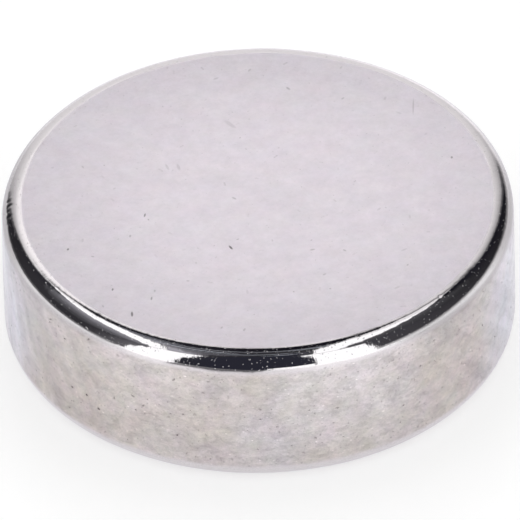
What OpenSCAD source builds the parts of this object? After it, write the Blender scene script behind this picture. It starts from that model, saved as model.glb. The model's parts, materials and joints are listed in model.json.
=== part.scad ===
// Disc magnet: a pressed and sintered disc under a bright, bonded nickel plating.
// It lies flat on its lower face. Z is its axis, and the origin is the centre of that face.
// Tumbling rolls both edges over before the disc is plated, so each edge is a true
// arc, tangent to the flat face on one side and to the straight wall on the other.
// Lengths are in millimetres.

/* [Disc] */
// Diameter across the straight wall
disc_d = 10; // [5:0.5:30]
// Thickness from face to face
disc_h = 3; // [1.5:0.1:12]

/* [Rolled edges] */
// Radius of the arc that joins each face to the wall
edge_r = 0.38; // [0.1:0.01:0.6]

/* [Hidden] */

// Radius of the straight wall
disc_r = disc_d / 2;
// Distance of the arcs' centres from the axis, which is also the radius of each flat face
flat_r = disc_r - edge_r;
// Height of the straight wall, between the two arcs
wall_h = disc_h - 2 * edge_r;
// Segments in one turn of the disc, and in one turn of an arc
disc_fn = 256;
edge_fn = 96;

// Bright nickel
nickel = [0.84, 0.82, 0.83];

// The section on one side of the axis: a rectangle with its two outer corners rolled over
module half_section() {
    // From the axis out to the arcs' centres, the full thickness
    square([flat_r, disc_h]);
    // From the axis out to the wall, between the arcs
    translate([0, edge_r]) square([disc_r, wall_h]);
    // The arc at the lower edge and the arc at the upper edge
    for (z = [edge_r, disc_h - edge_r])
        translate([flat_r, z]) circle(r = edge_r, $fn = edge_fn);
}

// The whole magnet, which is one piece: the section turned once about the axis
module magnet_disc() {
    color(nickel) rotate_extrude($fn = disc_fn) half_section();
}

magnet_disc();
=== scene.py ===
"""Looks of a disc magnet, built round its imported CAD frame.

The magnet is one sintered disc under bright, bonded nickel plating. Its skin is one closed
surface of revolution that carries the small faults of tumbling and plating: edges that roll
over a little more gently than a plain arc, faint waves along them, shallow dings, and a wall
that is never quite true. The plating's own finish adds pits, clouds and grain.

Lengths are in millimetres until a mesh or a light is made, and the scene itself is in metres.
Azimuth is counted round the disc's axis: 0 faces the camera, and 90 is to its right.
"""

import json
import logging
import math
from dataclasses import dataclass, field
from enum import Enum
from functools import reduce

import bpy
import numpy as np
from bpy.types import Camera, Material, Mesh, Node, NodeSocket, NodeTree, Object
from mathutils import Matrix, Vector


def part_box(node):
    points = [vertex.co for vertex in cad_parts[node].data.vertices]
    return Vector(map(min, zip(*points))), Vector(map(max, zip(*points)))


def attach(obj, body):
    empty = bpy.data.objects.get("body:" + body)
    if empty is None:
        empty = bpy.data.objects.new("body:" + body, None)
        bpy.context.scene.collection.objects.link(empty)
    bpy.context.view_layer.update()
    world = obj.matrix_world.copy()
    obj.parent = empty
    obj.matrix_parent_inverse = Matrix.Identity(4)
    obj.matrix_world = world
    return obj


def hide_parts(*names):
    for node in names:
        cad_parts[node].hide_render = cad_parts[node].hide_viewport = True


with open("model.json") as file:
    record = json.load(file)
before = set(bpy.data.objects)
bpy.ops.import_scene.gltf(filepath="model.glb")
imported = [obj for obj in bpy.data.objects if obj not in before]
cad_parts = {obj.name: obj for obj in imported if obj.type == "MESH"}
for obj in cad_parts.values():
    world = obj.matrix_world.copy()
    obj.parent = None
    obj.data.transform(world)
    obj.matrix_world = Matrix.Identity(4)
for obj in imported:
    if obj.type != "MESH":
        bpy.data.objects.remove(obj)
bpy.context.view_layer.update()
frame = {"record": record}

LOG = logging.getLogger("disc_magnet")
NODE = "magnet_disc"
BODY = "root"
MM = 0.001
MICRON = 0.001
QUARTER = math.pi / 2
TURN = 2 * math.pi

Colour = tuple[float, float, float]
Way = tuple[float, float, float]
Fade = tuple[float, float]
Stop = tuple[float, float]
Sockets = dict[str, float | None]

WHITE: Colour = (1.0, 1.0, 1.0)
MIDDLE_GREY: Colour = (0.5, 0.5, 0.5)
BLACK: Colour = (0.0, 0.0, 0.0)


# ---- Shape ----


@dataclass(frozen=True)
class DiscSizes:
    """The disc's own sizes in millimetres."""

    radius: float
    height: float
    edge: float

    @classmethod
    def from_frame(cls, record: dict, low: Vector, high: Vector) -> "DiscSizes":
        """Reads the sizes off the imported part.

        Args:
            record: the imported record, whose outer wall mount gives the radius and the wall's height.
            low: the node's lowest corner, in metres.
            high: the node's highest corner, in metres.

        Returns:
            The sizes, with the edge as half of what the straight wall leaves of the height.
        """
        wall = next(m for m in record["mounts"] if m["name"] == "outer_wall")["dims"]
        height = (high.z - low.z) / MM
        return cls(radius=wall["r_mm"], height=height, edge=(height - wall["length_mm"]) / 2)


@dataclass(frozen=True)
class RolledEdge:
    """Section of a tumbled edge, which leaves the face more gently than a plain arc would.

    The curve is (x / across)**face_power + (y / down)**wall_power = 1, with x outwards and y
    upwards from the point under the start of the roll. Its reach is found from the arc's
    radius, so that the curve cuts the corner's diagonal where the arc does.
    """

    arc: float
    face_power: float = 2.45
    wall_power: float = 2.05
    halvings: int = 40

    @property
    def reach(self) -> float:
        """How far the curve runs along the face and down the wall.

        On the diagonal x = y = reach - gap, and the gap is arc * (1 - 1 / sqrt 2). The share of
        the reach that is left there is found by halving.

        Returns:
            The reach in millimetres.
        """
        low, high = 0.5, 1.0
        for _ in range(self.halvings):
            share = (low + high) / 2
            if share ** self.face_power + share ** self.wall_power > 1:
                high = share
            else:
                low = share
        return self.arc * (1 - math.sqrt(0.5)) / (1 - low)

    def points(self, rows: int) -> tuple[np.ndarray, np.ndarray, np.ndarray]:
        """Points along the curve, from the wall up to the face.

        Args:
            rows: how many steps the curve takes.

        Returns:
            The outward place, the upward place and the slope, which is 0 on a face and a quarter
            turn on the wall: it is the direction of the curve's gradient.
        """
        angle = np.linspace(QUARTER, 0, rows + 1)
        x = np.sin(angle) ** (2 / self.face_power)
        y = np.cos(angle).clip(0) ** (2 / self.wall_power)
        slope = np.arctan2(self.face_power * x ** (self.face_power - 1),
                           self.wall_power * y ** (self.wall_power - 1))
        return self.reach * x, self.reach * y, slope


class Zone(Enum):
    """The parts of the skin that are finished in their own way."""

    FACE = "face_share"
    EDGE = "edge_share"
    WALL = "wall_share"


@dataclass(frozen=True)
class Dent:
    """A shallow hollow with a faint raised lip, on the upper edge.

    Azimuth and lean are in degrees, and along goes from the face (0) to the wall (1). Width,
    length and depth are in millimetres.
    """

    azimuth: float
    along: float
    width: float
    length: float
    depth: float
    lean: float = 0.0
    lip: float = 0.35

    def hollow(self, around: np.ndarray, across: np.ndarray) -> np.ndarray:
        """How deep the dent is: depth * (1 - lip * q) * exp(-q), with q the squared distance.

        Args:
            around: how far round the disc each point lies from the dent, in millimetres.
            across: how far along the section it lies from the dent, in millimetres.

        Returns:
            One depth for each point, in millimetres.
        """
        c, s = math.cos(math.radians(self.lean)), math.sin(math.radians(self.lean))
        q = (((around * c + across * s) / self.width) ** 2
             + ((across * c - around * s) / self.length) ** 2)
        return self.depth * (1 - self.lip * q) * np.exp(-q)


@dataclass(frozen=True)
class Scatter:
    """Small dents scattered by chance: how many, and the range of each of a dent's own numbers."""

    count: int = 45
    azimuth: Fade = (-180, 180)
    along: Fade = (0.05, 0.95)
    width: Fade = (0.018, 0.045)
    length: Fade = (0.03, 0.06)
    depth: Fade = (0.0003, 0.0012)
    lean: Fade = (0, 90)

    def dents(self, rng: np.random.Generator) -> list[Dent]:
        """Draws the dents one by one, with their numbers in the order of the fields."""
        ranges = (self.azimuth, self.along, self.width, self.length, self.depth, self.lean)
        return [Dent(*(rng.uniform(*span) for span in ranges)) for _ in range(self.count)]


@dataclass(frozen=True)
class WaveBand:
    """A band of random waves that run along and across a zone, given by their slope.

    The field is the sum of cosines of (turns * azimuth + rate * place along the section + phase).
    Each wave's height is its share of the slope over its own wave number.
    """

    zone: Zone
    slope_deg: float
    turns: tuple[int, int]
    pitch_mm: Fade
    count: int = 24

    def heights(self, azimuth: np.ndarray, along: np.ndarray, radius: float,
                rng: np.random.Generator) -> np.ndarray:
        """Heights of the whole band at each point.

        Args:
            azimuth: azimuth of each point, in radians.
            along: place of each point along the section, in millimetres.
            radius: radius at which a turn is measured, in millimetres.
            rng: the seeded source of the waves' phases and directions.

        Returns:
            One height for each point, in millimetres.
        """
        turns = rng.integers(self.turns[0], self.turns[1] + 1, self.count)
        rate = TURN / rng.uniform(*self.pitch_mm, self.count) * rng.choice([-1.0, 1.0], self.count)
        phase = rng.uniform(0, TURN, self.count)
        number = np.hypot(turns / radius, rate)
        share = math.radians(self.slope_deg) * math.sqrt(2 / self.count) / number
        total = np.zeros_like(azimuth)
        for n, k, p, a in zip(turns, rate, phase, share):
            total += a * np.cos(n * azimuth + k * along + p)
        return total


@dataclass
class DiscSkin:
    """The magnet's whole outside, as one closed surface of revolution with its small faults.

    Rings nearer the centre than sparse_within of the face have fewer points, by halves. A zone
    gives way to the next while the sine of the slope changes by zone_blend.
    """

    sizes: DiscSizes
    turn_steps: int = 1024
    edge_rows: int = 30
    hidden_edge_rows: int = 16
    wall_rows: int = 16
    face_step: float = 0.03
    face_step_growth: float = 1.13
    face_step_limit: float = 0.12
    centre_rings: int = 5
    sparse_within: float = 0.96
    zone_blend: float = 0.06
    crown: float = 0.0015
    seed: int = 7
    bands: tuple[WaveBand, ...] = (
        WaveBand(Zone.EDGE, 0.30, (3, 30), (1.5, 5.0)),
        WaveBand(Zone.EDGE, 0.23, (50, 190), (1.5, 6.0), 36),
        WaveBand(Zone.WALL, 0.7, (4, 40), (0.9, 4.0)),
        WaveBand(Zone.FACE, 0.05, (0, 6), (2.0, 6.0)),
    )
    dents: tuple[Dent, ...] = (
        Dent(-92.0, 0.50, 0.06, 0.12, 0.004),
        Dent(-90.2, 0.35, 0.05, 0.09, 0.004),
        Dent(-88.3, 0.60, 0.05, 0.10, 0.005),
        Dent(-86.4, 0.42, 0.04, 0.08, 0.004),
        Dent(-84.3, 0.55, 0.04, 0.06, 0.003),
        Dent(-43.2, 0.62, 0.03, 0.10, 0.0015, 60.0),
        Dent(47.8, 0.10, 0.04, 0.05, 0.002),
        Dent(58.8, 0.45, 0.03, 0.12, 0.0025, 80.0),
    )
    scatter: Scatter = Scatter()
    rng: np.random.Generator = field(init=False)

    def __post_init__(self) -> None:
        """Seeds the one source of chance that the whole skin draws on."""
        self.rng = np.random.default_rng(self.seed)

    @property
    def section_edge(self) -> RolledEdge:
        """The rolled edge's section."""
        return RolledEdge(self.sizes.edge)

    @property
    def flat_radius(self) -> float:
        """Radius at which the face starts to roll over."""
        return self.sizes.radius - self.section_edge.reach

    def _face_radii(self) -> np.ndarray:
        """Places the rings on the upper face, close at the edge and wider apart towards the centre.

        Returns:
            Their radii in millimetres, from the edge in.
        """
        steps, at, step = [], self.flat_radius, self.face_step
        while at - step > 2 * self.face_step_limit:
            at -= step
            steps.append(at)
            step = min(step * self.face_step_growth, self.face_step_limit)
        return np.array(steps)

    def rings(self) -> dict[str, np.ndarray]:
        """Rings of the section from the lower centre out, up the wall and in to the upper centre.

        Returns:
            For each ring its radius, height, slope, place along the section, number of points
            and shares of the three zones.
        """
        edge, s = self.section_edge, self.sizes
        inner = self.flat_radius
        upper_x, upper_y, upper_slope = edge.points(self.edge_rows)
        lower_x, lower_y, lower_slope = (a[::-1] for a in edge.points(self.hidden_edge_rows))
        wall_z = np.linspace(edge.reach, s.height - edge.reach, self.wall_rows + 1)[1:-1]
        face = self._face_radii()
        coarse = inner * 0.5 ** np.arange(self.centre_rings, 0, -1)
        radius = np.concatenate([coarse, inner + lower_x, np.full_like(wall_z, s.radius),
                                 inner + upper_x, face])
        height = np.concatenate([np.zeros_like(coarse), edge.reach - lower_y, wall_z,
                                 s.height - edge.reach + upper_y, np.full_like(face, s.height)])
        slope = np.concatenate([np.full_like(coarse, math.pi), math.pi - lower_slope,
                                np.full_like(wall_z, QUARTER), upper_slope, np.zeros_like(face)])
        halvings = np.where(radius < self.sparse_within * inner, np.floor(np.log2(inner / radius)) + 1, 0)
        halvings[:len(coarse)] = np.arange(len(coarse), 0, -1)
        count = self.turn_steps // 2 ** halvings.astype(int)
        along = np.concatenate([[0], np.cumsum(np.hypot(np.diff(radius), np.diff(height)))])
        lean = np.sin(slope)
        on_wall = np.clip(1 - (1 - lean) / self.zone_blend, 0, 1) ** 2
        on_face = np.clip(1 - lean / self.zone_blend, 0, 1) ** 2
        return {"radius": radius, "height": height, "slope": slope, "along": along, "count": count,
                Zone.WALL.value: on_wall, Zone.FACE.value: on_face,
                Zone.EDGE.value: np.clip(1 - on_wall - on_face, 0, 1)}

    def _points(self, rings: dict[str, np.ndarray]) -> dict[str, np.ndarray]:
        """Repeats each ring's values round its turn.

        Args:
            rings: the rings' values.

        Returns:
            Every point's values, with its own azimuth, place and normal.
        """
        count = rings["count"]
        point = {k: np.repeat(v, count) for k, v in rings.items()}
        first = np.repeat(np.cumsum(count) - count, count)
        azimuth = (np.arange(count.sum()) - first) / point["count"] * TURN
        point["azimuth"] = (azimuth + math.pi) % TURN - math.pi
        out = np.stack([np.sin(azimuth), -np.cos(azimuth), np.zeros_like(azimuth)], 1)
        up = np.array([0.0, 0.0, 1.0])
        point["place"] = out * point["radius"][:, None] + up * point["height"][:, None]
        point["normal"] = out * np.sin(point["slope"])[:, None] + up * np.cos(point["slope"])[:, None]
        return point

    def relief(self, point: dict[str, np.ndarray], edge_start: float, edge_end: float) -> np.ndarray:
        """Height of the faults above the true surface: waves, the face's crown, and dents.

        Args:
            point: the points' azimuth, radius, place along the section and zone shares.
            edge_start: place along the section where the upper edge leaves the wall.
            edge_end: place along the section where it reaches the face.

        Returns:
            One height for each point, in millimetres, measured along the normal.
        """
        radius = self.sizes.radius
        height = np.zeros_like(point["azimuth"])
        for band in self.bands:
            waves = band.heights(point["azimuth"], point["along"], radius, self.rng)
            height += point[band.zone.value] * waves
        height += self.crown * point[Zone.FACE.value] * (1 - (point["radius"] / radius) ** 2)
        for dent in (*self.dents, *self.scatter.dents(self.rng)):
            turn = (point["azimuth"] - math.radians(dent.azimuth) + math.pi) % TURN - math.pi
            across = point["along"] - (edge_end + (edge_start - edge_end) * dent.along)
            height -= dent.hollow(turn * radius, across)
        return height

    def faces(self, count: np.ndarray) -> list[np.ndarray]:
        """Faces between successive rings, and the two fans at the centres.

        A ring and its neighbour of the same count are joined by quads. Where the count halves,
        each coarse step is joined to its two fine steps by three triangles.

        Args:
            count: the number of points on each ring.

        Returns:
            Arrays of quads and of triangles, as point numbers.
        """
        start = np.cumsum(count) - count
        quads, triangles = [], []
        for a, b, n, m in zip(start[:-1], start[1:], count[:-1], count[1:]):
            if n == m:
                i = np.arange(n)
                j = (i + 1) % n
                quads.append(np.stack([a + i, a + j, b + j, b + i], 1))
                continue
            fine, coarse, big, small = (a, b, n, m) if n > m else (b, a, m, n)
            i = np.arange(small)
            j = (i + 1) % small
            f0, f1, f2 = 2 * i, 2 * i + 1, (2 * i + 2) % big
            group = [np.stack([fine + f0, fine + f1, coarse + i], 1),
                     np.stack([fine + f1, coarse + j, coarse + i], 1),
                     np.stack([fine + f1, fine + f2, coarse + j], 1)]
            triangles += group if n > m else [g[:, ::-1] for g in group]
        pole = int(count.sum())
        i, last = np.arange(count[0]), np.arange(count[-1])
        triangles.append(np.stack([i, np.full_like(i, pole), (i + 1) % count[0]], 1))
        triangles.append(np.stack([start[-1] + last, start[-1] + (last + 1) % count[-1],
                                   np.full_like(last, pole + 1)], 1))
        return [np.concatenate(quads), np.concatenate(triangles)]

    def build(self) -> Object:
        """Makes the skin's mesh object.

        Returns:
            The object, at the origin, with its zone shares as point attributes.
        """
        rings = self.rings()
        point = self._points(rings)
        top = rings["height"] > self.sizes.height / 2
        on_edge = top & (rings["slope"] > 0) & (rings["slope"] < QUARTER)
        height = self.relief(point, rings["along"][on_edge].min(), rings["along"][on_edge].max())
        place = point["place"] + point["normal"] * height[:, None]
        place[:, 2] = place[:, 2].clip(0)
        poles = np.array([[0, 0, 0], [0, 0, place[-1, 2]]])
        groups = self.faces(rings["count"])
        mesh = surface_mesh("magnet_skin", np.concatenate([place, poles]) * MM, groups)
        for zone in Zone:
            at_poles = np.full(len(poles), float(zone is Zone.FACE))
            point_values(mesh, zone.value, np.concatenate([point[zone.value], at_poles]))
        piece = scene_object("magnet_skin", mesh)
        triangles = sum(len(g) * (g.shape[1] - 2) for g in groups)
        LOG.info("magnet_skin: %d points, %d triangles", len(mesh.vertices), triangles)
        return piece


def surface_mesh(name: str, points: np.ndarray, groups: list[np.ndarray]) -> Mesh:
    """Makes a smooth-shaded mesh from points and arrays of faces.

    Args:
        name: the mesh's name.
        points: one row of x, y, z for each point, in metres.
        groups: arrays of faces, one for each number of corners.

    Returns:
        The mesh, with its faces as given.
    """
    mesh = bpy.data.meshes.new(name)
    corners = np.concatenate([g.ravel() for g in groups]).astype(np.int32)
    sizes = np.concatenate([np.full(len(g), g.shape[1]) for g in groups]).astype(np.int32)
    mesh.vertices.add(len(points))
    mesh.vertices.foreach_set("co", points.astype(np.float32).ravel())
    mesh.loops.add(len(corners))
    mesh.loops.foreach_set("vertex_index", corners)
    mesh.polygons.add(len(sizes))
    mesh.polygons.foreach_set("loop_start", (np.cumsum(sizes) - sizes).astype(np.int32))
    mesh.polygons.foreach_set("use_smooth", np.ones(len(sizes), bool))
    mesh.update(calc_edges=True)
    mesh.validate()
    return mesh


def sheet_mesh(name: str, points: np.ndarray) -> Mesh:
    """Makes a grid mesh.

    Args:
        name: the mesh's name.
        points: rows by columns of x, y, z, in metres.

    Returns:
        The mesh, whose faces turn from the row's direction towards the next row's.
    """
    at = np.arange(points[..., 0].size).reshape(points.shape[:2])
    quads = np.stack([at[:-1, :-1], at[:-1, 1:], at[1:, 1:], at[1:, :-1]], -1).reshape(-1, 4)
    return surface_mesh(name, points.reshape(-1, 3), [quads])


def point_values(mesh: Mesh, name: str, values: np.ndarray) -> None:
    """Gives the mesh a number at each of its points, under a name that a finish can read."""
    made = mesh.attributes.new(name, "FLOAT", "POINT")
    made.data.foreach_set("value", values.ravel().astype(np.float32))


def scene_object(name: str, data: Mesh | Camera) -> Object:
    """Makes an object and links it to the scene.

    Args:
        name: the object's name.
        data: its mesh or camera.

    Returns:
        The object, at the origin.
    """
    made = bpy.data.objects.new(name, data)
    bpy.context.scene.collection.objects.link(made)
    return made


# ---- Shader building blocks ----


def rgba(colour: Colour) -> tuple[float, float, float, float]:
    """The colour with full opacity."""
    return (*colour, 1.0)


class Sheet:
    """A node tree with short calls for the nodes that the finishes are made of."""

    number_out = ("LENGTH", "DOT_PRODUCT", "DISTANCE")

    def __init__(self, tree: NodeTree) -> None:
        """Holds the tree that the calls add to."""
        self.tree = tree

    def node(self, kind: str, inputs: dict | None = None, **settings: object) -> Node:
        """Adds a node.

        Args:
            kind: the node's type, without its ShaderNode prefix.
            inputs: value or output socket for each input, by name or number.
            settings: the node's own properties.

        Returns:
            The node.
        """
        made = self.tree.nodes.new(f"ShaderNode{kind}")
        for key, value in settings.items():
            setattr(made, key, value)
        for key, value in (inputs or {}).items():
            if isinstance(value, NodeSocket):
                self.tree.links.new(value, made.inputs[key])
            else:
                made.inputs[key].default_value = value
        return made

    def give(self, name: str, value: NodeSocket) -> None:
        """Links a value to the group's own output of that name."""
        self.tree.links.new(value, self.tree.nodes["out"].inputs[name])

    def show(self, shader: Node, kind: str = "OutputMaterial") -> None:
        """Adds the tree's output node and links a shader to it."""
        self.node(kind, {"Surface": shader.outputs[0]})

    def math(self, operation: str, *values: object, clamp: bool = False) -> NodeSocket:
        """Adds a Math node and returns its value."""
        return self.node("Math", dict(enumerate(values)), operation=operation, use_clamp=clamp).outputs[0]

    def product(self, *values: object) -> NodeSocket:
        """Multiplies any number of values."""
        return reduce(lambda first, second: self.math("MULTIPLY", first, second), values)

    def total(self, *values: object) -> NodeSocket:
        """Adds any number of values."""
        return reduce(lambda first, second: self.math("ADD", first, second), values)

    def most(self, *values: object) -> NodeSocket:
        """The greatest of any number of values."""
        return reduce(lambda first, second: self.math("MAXIMUM", first, second), values)

    def raised(self, value: object, factor: object, base: object) -> NodeSocket:
        """A value times a factor, on top of a base."""
        return self.math("MULTIPLY_ADD", value, factor, base)

    def vector(self, operation: str, *values: object) -> NodeSocket:
        """Adds a Vector Math node and returns its vector, or its value where it gives a number."""
        made = self.node("VectorMath", dict(enumerate(values)), operation=operation)
        return made.outputs["Value" if operation in self.number_out else "Vector"]

    def parts(self, value: object) -> tuple[NodeSocket, ...]:
        """A vector's x, y and z."""
        return tuple(self.node("SeparateXYZ", {0: value}).outputs)

    def joined(self, x: object = 0.0, y: object = 0.0, z: object = 0.0) -> NodeSocket:
        """The vector of x, y and z."""
        return self.node("CombineXYZ", {0: x, 1: y, 2: z}).outputs[0]

    def scaled(self, value: object, factor: object) -> NodeSocket:
        """A vector or colour times a number."""
        return self.node("VectorMath", {0: value, 3: factor}, operation="SCALE").outputs["Vector"]

    def flattened(self, value: object, normal: object) -> NodeSocket:
        """What is left of a vector in the plane that the normal stands on."""
        return self.vector("SUBTRACT", value, self.scaled(normal, self.vector("DOT_PRODUCT", value, normal)))

    def oval(self, offset: object, lean: object, length: object) -> NodeSocket:
        """How far out an offset lies on an oval: sqrt((along / length)**2 + across**2).

        Args:
            offset: the offset from the oval's centre.
            lean: the direction in which the oval is drawn out, of length 1.
            length: how many times as long as wide it is.

        Returns:
            The distance, in the oval's half widths.
        """
        along = self.vector("DOT_PRODUCT", offset, lean)
        across = self.vector("LENGTH", self.vector("SUBTRACT", offset, self.scaled(lean, along)))
        along = self.math("DIVIDE", along, length)
        return self.math("SQRT", self.total(self.product(along, along), self.product(across, across)))

    def ramp(self, value: object, low: object, high: object, to_low: object = 0.0,
             to_high: object = 1.0, smooth: bool = True) -> NodeSocket:
        """Maps a value from one range to another, clamped.

        Args:
            value: the value to map.
            low: the start of its range. It may be above the end.
            high: the end of its range.
            to_low: what the start is mapped to.
            to_high: what the end is mapped to.
            smooth: whether the change is eased at both ends.

        Returns:
            The mapped value.
        """
        made = self.node("MapRange", {0: value, 1: low, 2: high, 3: to_low, 4: to_high},
                         interpolation_type="SMOOTHSTEP" if smooth else "LINEAR", clamp=True)
        return made.outputs[0]

    def curve(self, value: object, stops: tuple[Stop, ...]) -> NodeSocket:
        """Maps a value through eased stops.

        Args:
            value: the value to map, from 0 to 1.
            stops: places from 0 to 1 in rising order, each with its height from 0 to 1.

        Returns:
            The height at the value's place.
        """
        made = self.node("ValToRGB", {0: value})
        made.color_ramp.interpolation = "EASE"
        elements = made.color_ramp.elements
        for k, (place, height) in enumerate(stops):
            element = elements[k] if k < len(elements) else elements.new(place)
            element.position = place
            element.color = rgba((height, height, height))
        return made.outputs[0]

    def mix(self, share: object, first: object, second: object) -> NodeSocket:
        """Mixes two numbers, which are inputs 2 and 3 of a Mix node."""
        return self.node("Mix", {0: share, 2: first, 3: second}, data_type="FLOAT").outputs[0]

    def blend(self, share: object, first: object, second: object) -> NodeSocket:
        """Mixes two colours, which are inputs 6 and 7 of a Mix node."""
        return self.node("Mix", {0: share, 6: first, 7: second}, data_type="RGBA").outputs[2]

    def noise(self, place: object, scale: object, detail: float = 2.0, roughness: float = 0.5,
              distortion: float = 0.0) -> Node:
        """Adds a Noise texture, whose value and colour lie about 0.5."""
        return self.node("TexNoise", {"Vector": place, "Scale": scale, "Detail": detail,
                                      "Roughness": roughness, "Distortion": distortion})

    def attribute(self, name: str) -> NodeSocket:
        """Reads a number that the mesh carries at its points."""
        return self.node("Attribute", attribute_name=name).outputs["Fac"]

    def use(self, tree: NodeTree, **inputs: object) -> Node:
        """Places a node group, with underscores for the spaces in its inputs' names."""
        return self.node("Group", {k.replace("_", " "): v for k, v in inputs.items()}, node_tree=tree)


def new_group(name: str, inputs: Sockets, outputs: Sockets) -> tuple[Sheet, dict[str, NodeSocket]]:
    """Starts a shader node group.

    Args:
        name: the group's name.
        inputs: each input's name and default, which is None for a vector.
        outputs: each output's name and default, in the same way.

    Returns:
        The sheet to build on, and its input sockets by name. The output node is named "out".
    """
    tree = bpy.data.node_groups.new(name, "ShaderNodeTree")
    for in_out, sockets in (("INPUT", inputs), ("OUTPUT", outputs)):
        for label, default in sockets.items():
            kind = "NodeSocketVector" if default is None else "NodeSocketFloat"
            made = tree.interface.new_socket(label, in_out=in_out, socket_type=kind)
            if default is not None:
                made.default_value = default
    source = tree.nodes.new("NodeGroupInput")
    tree.nodes.new("NodeGroupOutput").name = "out"
    return Sheet(tree), {label: source.outputs[label] for label in inputs}


class Effects:
    """The surface effects that the zones share, each built once as a node group.

    Attributes:
        fleck_core: share of a fleck's size that is fully covered.
        fleck_least: the smallest fleck, as a share of the largest.
        fleck_fade: power that makes weak flecks far more common than strong ones.
        cloud_finer: how much finer the clouds' second noise is than their first.
        ledge_gate: scale of the noise that breaks up the ledges, as a share of their own.
        ledge_soft: how softly that noise lets them through.
        mark_core: where a placed mark starts to fade, in half widths.
        mark_rim: where it ends.
    """

    fleck_core = 0.4
    fleck_least = 0.5
    fleck_fade = 2.0
    cloud_finer = 5.3
    ledge_gate = 0.9
    ledge_soft = 0.08
    mark_core = 0.5
    mark_rim = 1.3

    def __init__(self) -> None:
        """Builds every group."""
        self.flecks = self._flecks()
        self.clouds = self._clouds()
        self.ledges = self._ledges()
        self.grain = self._grain()
        self.mark = self._mark()

    def _flecks(self) -> NodeTree:
        """Scattered short marks: in each chosen cell, an oval round the cell's point.

        The oval lies in the surface and is turned at random. Its size and its strength are
        random too, with weak ones far more common than strong ones.

        Returns:
            The group.
        """
        s, i = new_group("flecks", {"Place": None, "Normal": None, "Cells per mm": 2.0, "Chance": 0.3,
                                    "Size": 0.1, "Length": 2.5}, {"Mask": 0.0})
        at = s.scaled(i["Place"], i["Cells per mm"])
        cell = s.node("TexVoronoi", {"Vector": at, "Scale": 1.0}, feature="F1", voronoi_dimensions="3D")
        luck = s.node("TexWhiteNoise", {"Vector": cell.outputs["Position"]}, noise_dimensions="3D")
        own = s.node("SeparateColor", {0: luck.outputs["Color"]}).outputs
        offset = s.flattened(s.vector("SUBTRACT", at, cell.outputs["Position"]), i["Normal"])
        lean = s.flattened(s.vector("SUBTRACT", cell.outputs["Color"], MIDDLE_GREY), i["Normal"])
        oval = s.oval(offset, s.vector("NORMALIZE", lean), s.mix(own[0], 1.0, i["Length"]))
        size = s.product(i["Size"], s.mix(own[0], self.fleck_least, 1.0))
        inside = s.ramp(oval, s.product(size, self.fleck_core), size, 1.0, 0.0)
        chosen = s.math("LESS_THAN", own[1], i["Chance"])
        s.give("Mask", s.product(inside, chosen, s.math("POWER", own[2], self.fleck_fade)))
        return s.tree

    def _clouds(self) -> NodeTree:
        """Soft cloudy change of tone and of hue: a wide noise with a share of a finer one.

        Returns:
            The group.
        """
        s, i = new_group("clouds", {"Place": None, "Scale": 1.0, "Fine share": 0.4, "Contrast": 1.0},
                         {"Value": 0.0, "Hue shift": None})
        wide = s.noise(i["Place"], i["Scale"], distortion=0.4)
        fine = s.noise(i["Place"], s.product(i["Scale"], self.cloud_finer), detail=3.0, roughness=0.7,
                       distortion=0.2)
        both = s.mix(i["Fine share"], wide.outputs[0], fine.outputs[0])
        spread = s.product(s.math("SUBTRACT", both, 0.5), i["Contrast"])
        s.give("Value", s.math("ADD", spread, 0.5, clamp=True))
        s.give("Hue shift", s.vector("SUBTRACT", fine.outputs["Color"], MIDDLE_GREY))
        return s.tree

    def _ledges(self) -> NodeTree:
        """Short winding marks: the thin band where a noise crosses its middle, broken up by a second one.

        Returns:
            The group.
        """
        s, i = new_group("ledges", {"Place": None, "Scale": 6.0, "Width": 0.02, "Broken": 0.5},
                         {"Mask": 0.0})
        winding = s.noise(i["Place"], i["Scale"], distortion=0.6).outputs[0]
        line = s.math("ABSOLUTE", s.math("SUBTRACT", winding, 0.5))
        band = s.ramp(line, 0.0, i["Width"], 1.0, 0.0)
        gate = s.noise(i["Place"], s.product(i["Scale"], self.ledge_gate), detail=1.0).outputs[0]
        through = s.ramp(gate, i["Broken"], s.math("ADD", i["Broken"], self.ledge_soft))
        s.give("Mask", s.product(band, through))
        return s.tree

    def _grain(self) -> NodeTree:
        """Fine even mottle from -1 to 1, with as much strength in its small parts as in its wide ones.

        Returns:
            The group.
        """
        s, i = new_group("grain", {"Place": None, "Scale": 3.0}, {"Value": 0.0})
        value = s.noise(i["Place"], i["Scale"], detail=4.0, roughness=0.9).outputs[0]
        s.give("Value", s.product(s.math("SUBTRACT", value, 0.5), 2.0))
        return s.tree

    def _mark(self) -> NodeTree:
        """One mark of a given place: an oval that runs along its lean.

        Returns:
            The group.
        """
        s, i = new_group("mark", {"Place": None, "Centre": None, "Lean": None, "Half width": 0.02,
                                  "Length": 2.0}, {"Mask": 0.0})
        oval = s.oval(s.vector("SUBTRACT", i["Place"], i["Centre"]), i["Lean"], i["Length"])
        core, rim = (s.product(i["Half width"], reach) for reach in (self.mark_core, self.mark_rim))
        s.give("Mask", s.ramp(oval, core, rim, 1.0, 0.0))
        return s.tree


# ---- What the zones are dressed with ----


@dataclass(frozen=True)
class Noise:
    """A noise: its scale to the millimetre, how many finer ones it adds, and how strong they are."""

    scale: float
    detail: float
    roughness: float = 0.5


@dataclass(frozen=True)
class Clouds:
    """Soft clouds: their scale, the share of the finer ones, their contrast, and how far the hue shifts."""

    scale: float
    fine_share: float
    contrast: float
    hue: Colour


@dataclass(frozen=True)
class Flecks:
    """A scatter of flecks: cells to the millimetre, the share that has one, size in cells, and strength."""

    cells: float
    chance: float
    size: float
    length: float
    strength: float


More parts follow.
